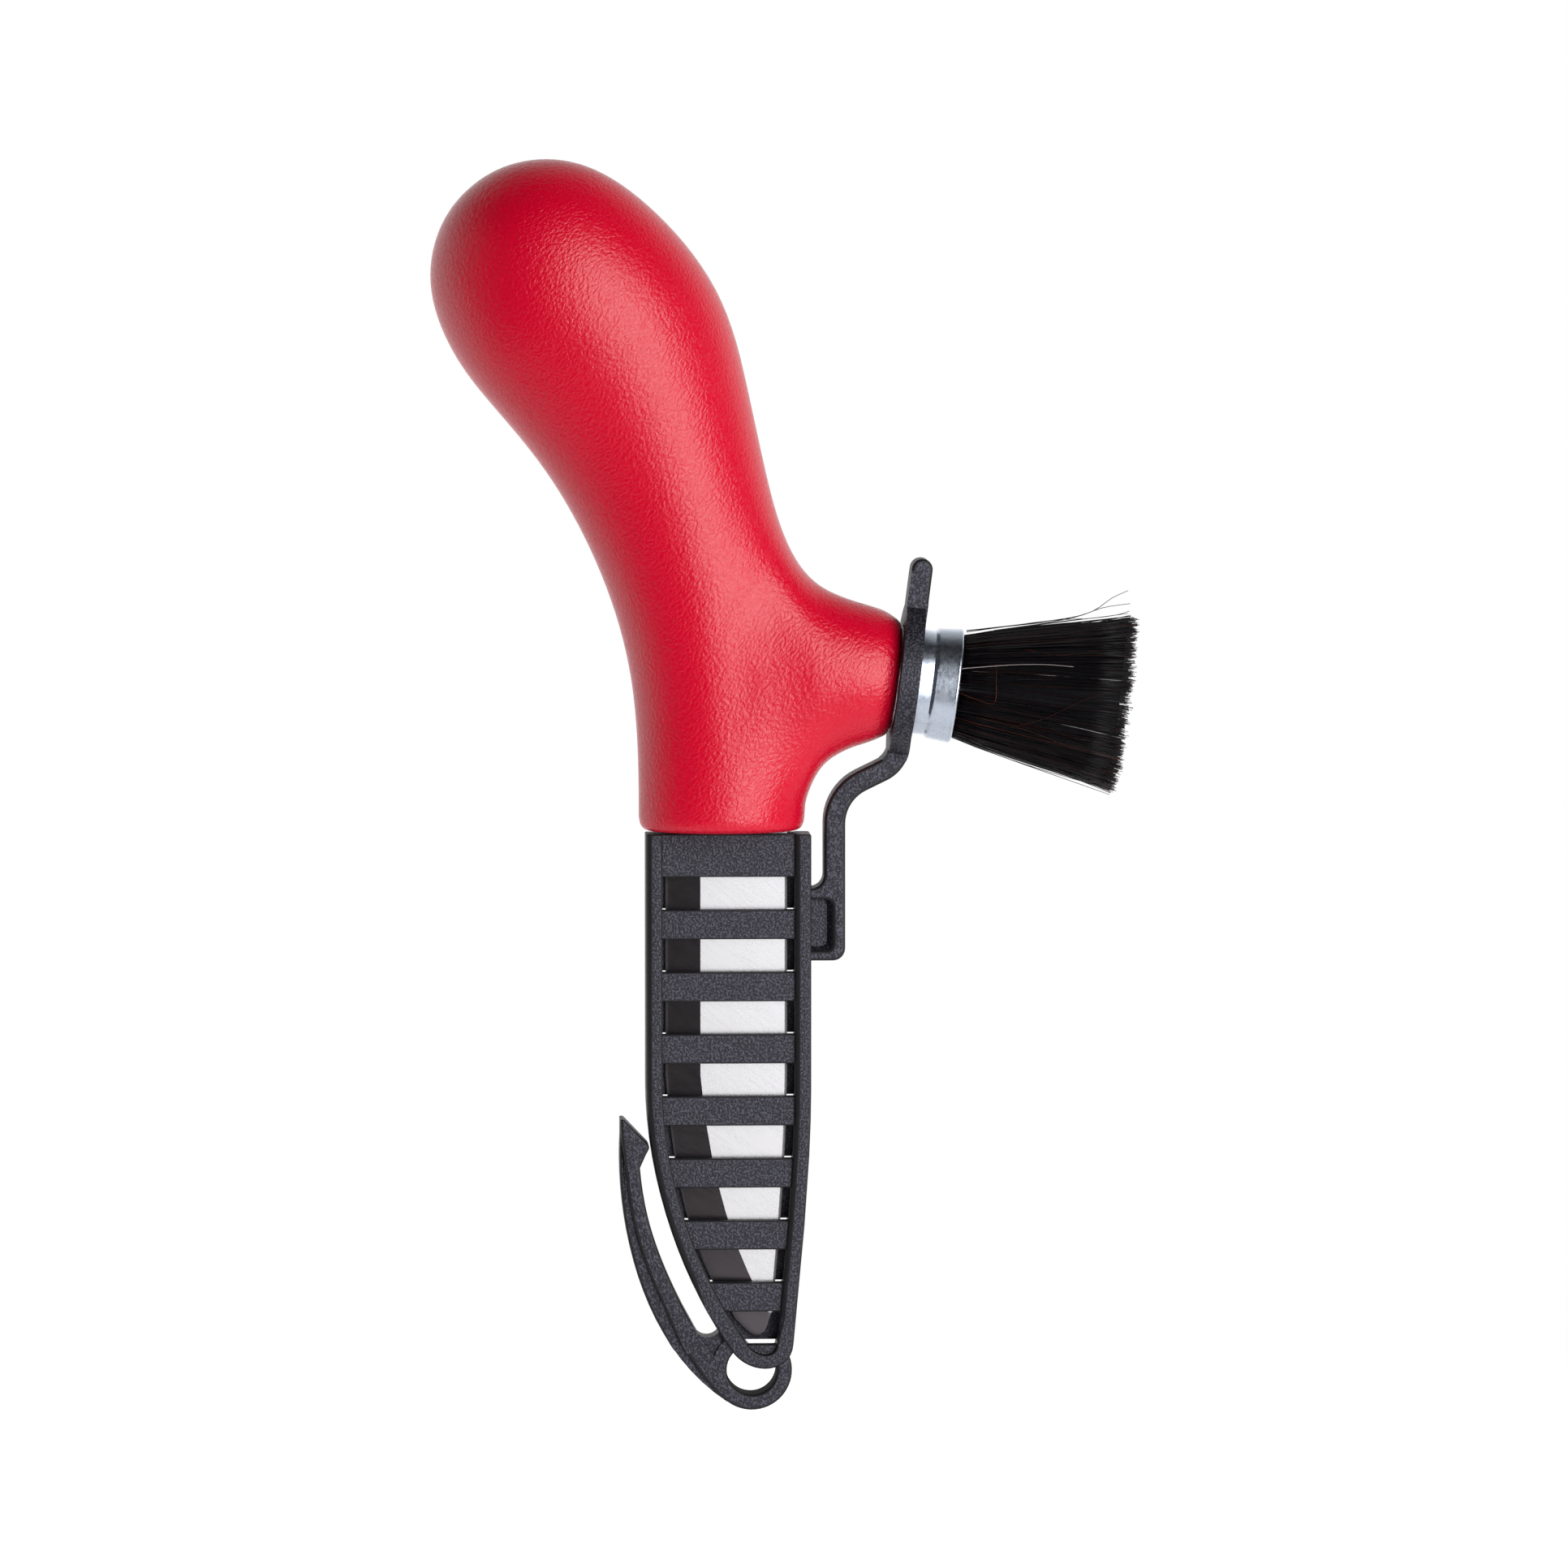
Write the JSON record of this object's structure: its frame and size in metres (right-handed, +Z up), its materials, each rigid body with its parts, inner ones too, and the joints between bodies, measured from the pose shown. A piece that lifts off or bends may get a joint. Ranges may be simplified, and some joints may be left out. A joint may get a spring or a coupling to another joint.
{
  "type": "mushroom knife with brush and belt sheath",
  "caption": "Mushroom picker's knife with a palm-shaped plastic handle and a side brush, held by a retaining strap in a slatted belt sheath with a lanyard eye.",
  "frame": {"origin": "middle of the belt slot between the clip and the sheath, on the middle plane of the sheath's thickness", "axes": "+Z up the sheath from its tip to its mouth, +X across the blade from the cutting edge to the brush, +Y through the thickness towards the back"},
  "size_m": [0.1034, 0.031, 0.1834],
  "materials": {
    "red_plastic": "fine leather grain, satin",
    "blade_steel": "fine slanting grind, satin",
    "ferrule_metal": "drawn, bright",
    "brush_resin": "cast, matt",
    "black_bristle": "natural bristle, slight sheen",
    "black_plastic": "spark-eroded, matt"
  },
  "bodies": {
    "sheath": {"sheath_body": "black_plastic"},
    "knife": {"handle": "red_plastic", "blade": "blade_steel", "ferrule": "ferrule_metal", "bristle_resin": "brush_resin", "bristle_tuft": "black_bristle"},
    "clip": {"belt_clip": "black_plastic"},
    "strap": {"retaining_strap": "black_plastic"}
  },
  "joints": [
    {"name": "knife_draw", "type": "slide", "parent": "sheath", "child": "knife", "axis": [0, 0, 1], "range_m": [0, 0.085], "deforming": ["retaining_strap"]},
    {"name": "strap_flex", "type": "hinge", "parent": "sheath", "child": "strap", "pos_m": [0.02455, 0, 0.0555], "axis": [0, 1, 0], "range_deg": [0, 70], "stiffness_Nm_per_rad": 0.5, "deforming": ["retaining_strap"]},
    {"name": "clip_flex", "type": "hinge", "parent": "sheath", "child": "clip", "pos_m": [0.00248, 0, -0.0128], "axis": [0, -1, 0], "range_deg": [0, 6], "stiffness_Nm_per_rad": 1.3}
  ]
}
